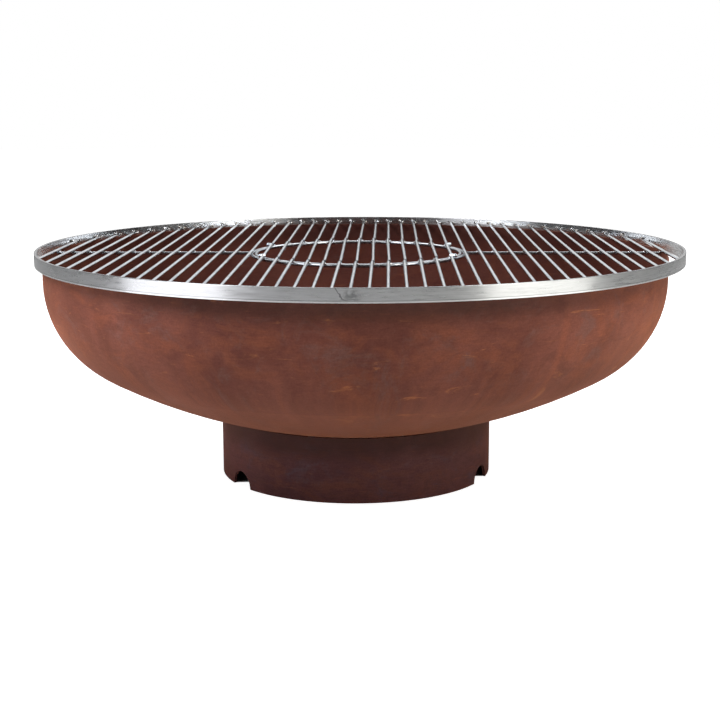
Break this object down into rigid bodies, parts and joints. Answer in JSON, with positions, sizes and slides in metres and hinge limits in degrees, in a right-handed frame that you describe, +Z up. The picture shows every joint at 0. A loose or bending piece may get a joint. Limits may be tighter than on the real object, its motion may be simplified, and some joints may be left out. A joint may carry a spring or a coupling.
{
  "type": "fire pit with grate",
  "caption": "Round weathering-steel fire bowl on a notched stand ring, with a lift-off round stainless cooking grate and a lift-out centre insert.",
  "frame": {"origin": "on the ground, under the centre of the grate's rim", "axes": "+Z up; the grate's rods run along Y; -Y is the front"},
  "size_m": [1, 1, 0.3589],
  "materials": {
    "stand_steel": "matte",
    "bowl_steel": "matte",
    "rim_steel": "satin",
    "rod_steel": "satin",
    "weld_metal": "satin"
  },
  "bodies": {
    "stand": {"base_ring": "stand_steel", "base_seam_weld": "stand_steel"},
    "bowl": {"fire_bowl": "bowl_steel"},
    "grate": {"grate_rim": "rim_steel", "grate_rim_weld": "weld_metal", "seat_ring": "rod_steel", "seat_ring_weld": "weld_metal", "cross_rod_left": "rod_steel", "cross_rod_right": "rod_steel", "front_rods": "rod_steel", "back_rods": "rod_steel", "left_rod_1": "rod_steel", "left_rod_2": "rod_steel", "left_rod_3": "rod_steel", "left_rod_4": "rod_steel", "left_rod_5": "rod_steel", "left_rod_6": "rod_steel", "left_rod_7": "rod_steel", "left_rod_8": "rod_steel", "left_rod_9": "rod_steel", "left_rod_10": "rod_steel", "left_rod_11": "rod_steel", "left_rod_12": "rod_steel", "left_rod_13": "rod_steel", "right_rod_1": "rod_steel", "right_rod_2": "rod_steel", "right_rod_3": "rod_steel", "right_rod_4": "rod_steel", "right_rod_5": "rod_steel", "right_rod_6": "rod_steel", "right_rod_7": "rod_steel", "right_rod_8": "rod_steel", "right_rod_9": "rod_steel", "right_rod_10": "rod_steel", "right_rod_11": "rod_steel", "right_rod_12": "rod_steel", "right_rod_13": "rod_steel", "left_rod_welds": "weld_metal", "right_rod_welds": "weld_metal", "front_rod_welds": "weld_metal", "back_rod_welds": "weld_metal", "left_cross_welds": "weld_metal", "right_cross_welds": "weld_metal", "seat_welds": "weld_metal"},
    "insert": {"insert_ring": "rod_steel", "insert_ring_weld": "weld_metal", "insert_rods": "rod_steel", "insert_lugs": "rod_steel", "insert_welds": "weld_metal"}
  },
  "joints": [
    {"name": "bowl_lift", "type": "slide", "parent": "stand", "child": "bowl", "axis": [0, 0, 1], "range_m": [0, 0.12]},
    {"name": "grate_lift", "type": "slide", "parent": "bowl", "child": "grate", "axis": [0, 0, 1], "range_m": [0, 0.15]},
    {"name": "insert_lift", "type": "slide", "parent": "grate", "child": "insert", "axis": [0, 0, 1], "range_m": [0, 0.12]}
  ]
}
